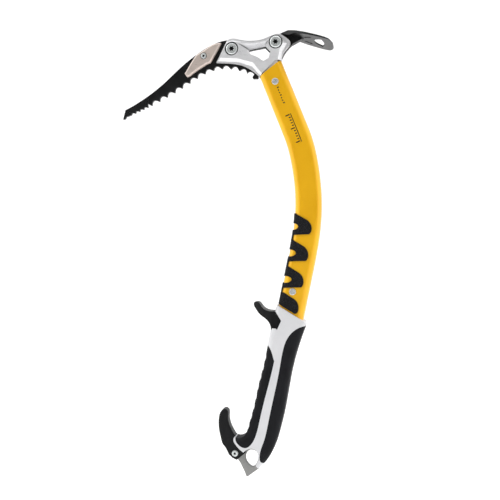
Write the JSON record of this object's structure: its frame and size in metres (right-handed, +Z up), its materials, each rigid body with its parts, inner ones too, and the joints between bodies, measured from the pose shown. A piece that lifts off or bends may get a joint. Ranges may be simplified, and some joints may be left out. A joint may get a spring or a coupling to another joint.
{
  "type": "ice axe",
  "caption": "technical ice axe with a toothed pick, adze, forged head with a window, curved shaft, moulded two-tone handle with trigger and griprest, and a spike with an eye",
  "frame": {"origin": "middle of the window in the head, on the tool's mid-plane, where a loop or carabiner holds the hanging tool", "axes": "+Z up the tool from the spike to the head, -X towards the pick tip and +X towards the adze, Y across the thickness with the tool's left side facing -Y"},
  "size_m": [0.2443, 0.053, 0.5039],
  "materials": {
    "yellow_shaft": "yellow anodised aluminium, satin",
    "grit_tape": "black mineral-grit friction tape",
    "forged_head": "bright forged aluminium, satin",
    "black_steel": "black-coated forged steel",
    "weight_steel": "champagne-tinted steel with bevelled edges",
    "zinc_steel": "zinc-plated steel",
    "core_alloy": "plain milled aluminium",
    "white_nylon": "light grey moulded nylon",
    "black_rubber": "black thermoplastic rubber",
    "black_nylon": "black glass-filled nylon",
    "spike_steel": "grey tumbled steel"
  },
  "bodies": {
    "root": {"shaft_tube": "yellow_shaft", "friction_tape": "grit_tape", "head": "forged_head", "pick": "black_steel", "adze": "black_steel", "pick_weight_left": "weight_steel", "pick_weight_right": "weight_steel", "weight_screw": "zinc_steel", "weight_nut": "zinc_steel", "pick_bolt": "zinc_steel", "pick_nut": "zinc_steel", "adze_bolt": "zinc_steel", "adze_nut": "zinc_steel", "head_rivet": "zinc_steel", "handle_rivet": "zinc_steel", "griprest_screw": "zinc_steel", "griprest_nut": "zinc_steel", "spike_pins": "zinc_steel", "handle_core": "core_alloy", "handle_body": "white_nylon", "front_grip": "black_rubber", "rear_grip": "black_rubber", "trigger": "black_nylon", "griprest": "black_nylon", "spike": "spike_steel"}
  },
  "joints": []
}
